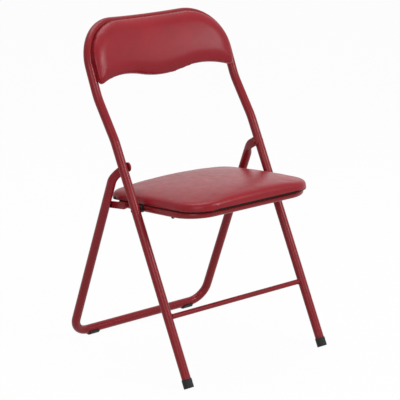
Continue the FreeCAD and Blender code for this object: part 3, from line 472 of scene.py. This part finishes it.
def keep_within(piece, matrix, low, high):
    """Keeps a pad inside a box of its own frame, so that it clears what moves beside it."""
    inverse = matrix.inverted()
    for vert in piece.data.vertices:
        local = inverse @ vert.co
        local = Vector(min(max(part, least), most) for part, least, most in zip(local, low, high))
        vert.co = matrix @ local


def cover_pad(pad):
    """Smooths a finished pad and covers it in vinyl."""
    pad.data.shade_smooth()
    smooth = pad.modifiers.new("smooth", "SUBSURF")
    smooth.levels = 1
    smooth.render_levels = 1
    coat(pad, "vinyl")


class CHAIR_OT_finishes(bpy.types.Operator):
    """Coat the frame, links, rivets, feet and boards"""

    bl_idname = "chair.finishes"
    bl_label = "Frame finishes"

    def execute(self, context):
        groups = ((RED_NODES, "powder_coat"), (RUBBER_NODES, "rubber"), (NYLON_NODES, "nylon"),
                  (ZINC_NODES, "zinc"), (("seat_board",), "hardboard"), (("back_board",), "vinyl"))
        for names, finish in groups:
            for name in names:
                coat(frame["nodes"][name], finish)
        return {"FINISHED"}


class CHAIR_OT_brace_welds(bpy.types.Operator):
    """Lay a weld bead where each end of the brace meets a front leg"""

    bl_idname = "chair.brace_welds"
    bl_label = "Brace welds"

    def execute(self, context):
        size = sizes()
        low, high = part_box("front_brace")
        centre = (Vector(low) + Vector(high)) / 2
        brace_radius = (high[2] - low[2]) / 2
        welds = bmesh.new()
        for side in (-1, 1):
            bead = bmesh.new()
            bmesh.ops.create_circle(bead, segments=10, radius=size.weld_bead)
            offset = Matrix.Translation((0.0, brace_radius + 0.3 * size.weld_bead, 0.0))
            bmesh.ops.transform(bead, matrix=offset, verts=bead.verts)
            bmesh.ops.spin(bead, geom=bead.edges[:] + bead.verts[:], cent=(0.0, 0.0, 0.0), axis=(1.0, 0.0, 0.0),
                           angle=math.tau, steps=48, use_merge=True)
            bmesh.ops.remove_doubles(bead, verts=bead.verts, dist=1e-6)
            bmesh.ops.recalc_face_normals(bead, faces=bead.faces)
            for vert in bead.verts:
                # the bead follows the saddle where the brace meets the round leg, with a rippled surface
                turn = math.atan2(vert.co.z, vert.co.y)
                beside = brace_radius * math.cos(turn - LEG_LEAN)
                reach = LEG_OUT - math.sqrt(LEG_RADIUS ** 2 - beside ** 2) - 0.4 * size.weld_bead
                ripple = 1.0 + size.weld_ripple * math.sin(WELD_WAVES * turn)
                vert.co = Vector((side * (reach + vert.co.x * ripple), vert.co.y, vert.co.z)) + centre
            if side < 0:
                bmesh.ops.reverse_faces(bead, faces=bead.faces)
            loose = bpy.data.meshes.new("bead")
            bead.to_mesh(loose)
            bead.free()
            welds.from_mesh(loose)
            bpy.data.meshes.remove(loose)
        bmesh.ops.recalc_face_normals(welds, faces=welds.faces)
        piece = piece_from(welds, "brace_welds")
        coat(piece, "powder_coat")
        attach(piece, "front_frame")
        return {"FINISHED"}


class CHAIR_OT_seat_pad(bpy.types.Operator):
    """Make the stuffed seat pad on its board"""

    bl_idname = "chair.seat_pad"
    bl_label = "Seat pad"

    def execute(self, context):
        inverse = SEAT_FRAME.inverted()
        local = [inverse @ vert.co for vert in frame["nodes"]["seat_pad"].data.vertices]
        sole = min(point.z for point in local)
        ceiling = sole + SEAT_BOARD_THICKNESS
        half = max(abs(point.x) for point in local)
        front, rear = min(point.y for point in local), max(point.y for point in local)
        top = max(point.z for point in local)
        held_depth, lift, slack, head_room = 0.0025, 0.0006, 0.002, 0.006

        def in_pocket(face):
            """True for the faces of the pocket that the board fills."""
            if max((inverse @ vert.co).z for vert in face.verts) > ceiling:
                return False
            normal = inverse.to_3x3() @ face.normal
            middle = inverse @ face.calc_center_median()
            inward = normal.x * middle.x + normal.y * (middle.y - (front + rear) / 2) < 0
            flat_roof = normal.z < -0.9 and middle.z > ceiling - 0.0005
            return flat_roof or (abs(normal.z) < 0.1 and inward)

        def on_board(point):
            return (inverse @ point).z < sole + held_depth

        def settle(point):
            resting = inverse @ point
            resting.z = min(resting.z, sole + lift)
            return SEAT_FRAME @ resting

        pad = foam_form("seat_cushion", "seat_pad", sizes().foam_voxel, SEAT_FRAME, in_pocket)
        soften_foam(pad, sizes().seat_soften, on_board, settle, shrink=sizes().seat_shrink, keep=SEAT_OUTLINE_KEPT)
        stuff_foam(pad, on_board, sizes().seat_puff, sizes().seat_pressure)
        calm_foam(pad, sizes().calming, on_board)
        for vert in pad.data.vertices:
            # the foam is fullest along the middle and pulled down towards both sides
            point = inverse @ vert.co
            aside = min(1.0, abs(point.x) / half)
            height = min(1.0, max(0.0, (point.z - sole) / (top - sole)))
            point.z += height * (sizes().seat_crown * (1.0 - aside ** 2) - sizes().seat_side_drop * aside ** 4)
            vert.co = SEAT_FRAME @ point
        keep_within(pad, SEAT_FRAME, (-half, front - slack, sole), (half, rear + slack, top + head_room))
        cover_pad(pad)
        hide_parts("seat_pad")
        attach(pad, "seat")
        return {"FINISHED"}


class CHAIR_OT_back_pad(bpy.types.Operator):
    """Make the stuffed back pad on its dished board"""

    bl_idname = "chair.back_pad"
    bl_label = "Back pad"

    def execute(self, context):
        inverse = BACK_FRAME.inverted()
        radius = BACK_DISH_RADIUS
        held_depth, sweep = 0.0015, 0.02
        depth = max((inverse @ vert.co).z for vert in frame["nodes"]["back_board"].data.vertices)
        centre = min((inverse @ vert.co).z for vert in frame["nodes"]["back_pad"].data.vertices) + radius

        def on_board(point):
            local = inverse @ point
            return math.hypot(local.x, local.z - centre) > radius - held_depth and local.z < depth + sweep

        def settle(point):
            local = inverse @ point
            turn = math.atan2(local.x, centre - local.z)
            return BACK_FRAME @ Vector((radius * math.sin(turn), local.y, centre - radius * math.cos(turn)))

        pad = foam_form("back_cushion", "back_pad", sizes().foam_voxel, BACK_FRAME)
        soften_foam(pad, sizes().back_soften, on_board, settle)
        stuff_foam(pad, on_board, sizes().back_puff, sizes().back_pressure)
        calm_foam(pad, sizes().calming, on_board)
        self.roll_edges(pad, inverse, centre, radius)
        cover_pad(pad)
        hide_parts("back_pad")
        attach(pad, "front_frame")
        return {"FINISHED"}

    def roll_edges(self, pad, inverse, centre, radius):
        """Thins the pad towards its outline, where the cover is pulled down over the foam."""
        size = sizes()
        spread_out = []
        walls = []
        for vert in pad.data.vertices:
            local = inverse @ vert.co
            normal = inverse.to_3x3() @ vert.normal
            turn = math.atan2(local.x, centre - local.z)
            outwards = Vector((-math.sin(turn), 0.0, math.cos(turn)))
            place = Vector((radius * turn, local.y, 0.0))
            spread_out.append((place, turn, radius - math.hypot(local.x, local.z - centre)))
            if abs(normal.dot(outwards)) < WALL_FACING:
                walls.append(place)
        outline = kdtree.KDTree(len(walls))
        for index, place in enumerate(walls):
            outline.insert(place, index)
        outline.balance()
        for vert, (place, turn, height) in zip(pad.data.vertices, spread_out):
            inside = min(1.0, outline.find(place)[2] / size.back_roll_width)
            reach = radius - height * (1.0 - size.back_roll * (1.0 - inside) ** 2)
            vert.co = BACK_FRAME @ Vector((reach * math.sin(turn), place.y, centre - reach * math.cos(turn)))


def seen_rays(nodes, links):
    """Socket that is 1 for rays by which the backdrop is seen, straight or in a reflection."""
    path = nodes.new("ShaderNodeLightPath")
    seen = path.outputs["Is Camera Ray"]
    for ray in ("Is Glossy Ray", "Is Transmission Ray"):
        most = nodes.new("ShaderNodeMath")
        most.operation = "MAXIMUM"
        links.new(seen, most.inputs[0])
        links.new(path.outputs[ray], most.inputs[1])
        seen = most.outputs[0]
    return seen


class CHAIR_OT_stage(bpy.types.Operator):
    """Set the floor, backdrop, lamps and camera"""

    bl_idname = "chair.stage"
    bl_label = "Stage"

    def execute(self, context):
        stage = context.scene.chair_stage
        self.floor()
        self.sky(context.scene, stage)
        self.lamp("key_lamp", (1.2, -2.6, 2.1), (0.0, 0.0, 0.55), 1.0, stage.key_power)
        self.lamp("fill_lamp", (-2.4, -2.0, 1.8), (0.0, 0.0, 0.45), 1.6, stage.fill_power)
        self.lamp("top_lamp", (0.2, 0.5, 3.0), (0.0, 0.0, 0.4), 1.8, stage.top_power)
        self.camera(context.scene, stage)
        context.scene.view_settings.view_transform = "Standard"
        return {"FINISHED"}

    def floor(self):
        """A wide pale floor that is seen white and keeps the chair's shadow."""
        bm = bmesh.new()
        bmesh.ops.create_grid(bm, x_segments=1, y_segments=1, size=FLOOR_HALF)
        floor = piece_from(bm, "studio_floor")
        sheet = NodeSheet("studio_white")
        sheet.feed("Base Color", (0.80, 0.80, 0.80, 1.0))
        sheet.feed("Roughness", 0.9)
        sheet.feed("Specular IOR Level", 0.1)
        glow = sheet.add("ShaderNodeEmission", Color=(1.0, 1.0, 1.0, 1.0), Strength=1.0)
        share = sheet.reckon("MULTIPLY", seen_rays(sheet.nodes, sheet.links), FLOOR_GLOW)
        blend = sheet.nodes.new("ShaderNodeMixShader")
        sheet.links.new(share, blend.inputs["Fac"])
        sheet.links.new(sheet.shader.outputs[0], blend.inputs[1])
        sheet.links.new(glow.outputs[0], blend.inputs[2])
        sheet.links.new(blend.outputs[0], sheet.nodes["Material Output"].inputs["Surface"])
        floor.data.materials.append(sheet.material)

    def sky(self, scene, stage):
        """Even light all round; the camera and reflections see white."""
        world = bpy.data.worlds.new("studio_sky")
        world.use_nodes = True
        nodes = world.node_tree.nodes
        links = world.node_tree.links
        dim = nodes["Background"]
        dim.inputs["Color"].default_value = (1.0, 1.0, 1.0, 1.0)
        dim.inputs["Strength"].default_value = stage.sky
        bright = nodes.new("ShaderNodeBackground")
        bright.inputs["Color"].default_value = (1.0, 1.0, 1.0, 1.0)
        bright.inputs["Strength"].default_value = 1.0
        blend = nodes.new("ShaderNodeMixShader")
        links.new(seen_rays(nodes, links), blend.inputs["Fac"])
        links.new(dim.outputs[0], blend.inputs[1])
        links.new(bright.outputs[0], blend.inputs[2])
        links.new(blend.outputs[0], nodes["World Output"].inputs["Surface"])
        scene.world = world

    def lamp(self, name, place, aim, width, power):
        """A square soft lamp aimed at a point."""
        light = bpy.data.lights.new(name, "AREA")
        light.size = width
        light.energy = power
        lamp = bpy.data.objects.new(name, light)
        lamp.location = place
        lamp.rotation_euler = (Vector(aim) - Vector(place)).to_track_quat("-Z", "Y").to_euler()
        bpy.context.scene.collection.objects.link(lamp)

    def camera(self, scene, stage):
        """The photograph's camera, turned round the point it is aimed at."""
        lens = bpy.data.cameras.new("photo_camera")
        lens.lens = stage.lens
        lens.sensor_width = 36.0
        lens.sensor_fit = "HORIZONTAL"
        lens.clip_end = 100.0
        back = Vector((math.sin(stage.azimuth) * math.cos(stage.elevation),
                       -math.cos(stage.azimuth) * math.cos(stage.elevation), math.sin(stage.elevation)))
        camera = bpy.data.objects.new("photo_camera", lens)
        camera.location = Vector(stage.aim) + back * stage.distance
        camera.rotation_euler = (-back).to_track_quat("-Z", "Y").to_euler()
        scene.collection.objects.link(camera)
        scene.camera = camera


class CHAIR_PT_panel(bpy.types.Panel):
    """Lists the chair's pieces and their settings"""

    bl_label = "Folding chair"
    bl_idname = "CHAIR_PT_panel"
    bl_space_type = "VIEW_3D"
    bl_region_type = "UI"
    bl_category = "Chair"

    def draw(self, context):
        for operator in OPERATORS:
            self.layout.operator(operator.bl_idname)
        for settings in (context.scene.chair_sizes, context.scene.chair_colours, context.scene.chair_stage):
            box = self.layout.box()
            for key in settings.__annotations__:
                box.prop(settings, key)


OPERATORS = (CHAIR_OT_finishes, CHAIR_OT_brace_welds, CHAIR_OT_seat_pad, CHAIR_OT_back_pad, CHAIR_OT_stage)
CLASSES = (ChairSizes, ChairColours, ChairStage, *OPERATORS, CHAIR_PT_panel)


def register():
    for cls in CLASSES:
        bpy.utils.register_class(cls)
    bpy.types.Scene.chair_sizes = PointerProperty(type=ChairSizes)
    bpy.types.Scene.chair_colours = PointerProperty(type=ChairColours)
    bpy.types.Scene.chair_stage = PointerProperty(type=ChairStage)


def unregister():
    del bpy.types.Scene.chair_stage
    del bpy.types.Scene.chair_colours
    del bpy.types.Scene.chair_sizes
    for cls in reversed(CLASSES):
        bpy.utils.unregister_class(cls)


def main():
    register()
    bpy.ops.chair.finishes()
    bpy.ops.chair.brace_welds()
    bpy.ops.chair.seat_pad()
    bpy.ops.chair.back_pad()
    bpy.ops.chair.stage()


if __name__ == "__main__":
    main()
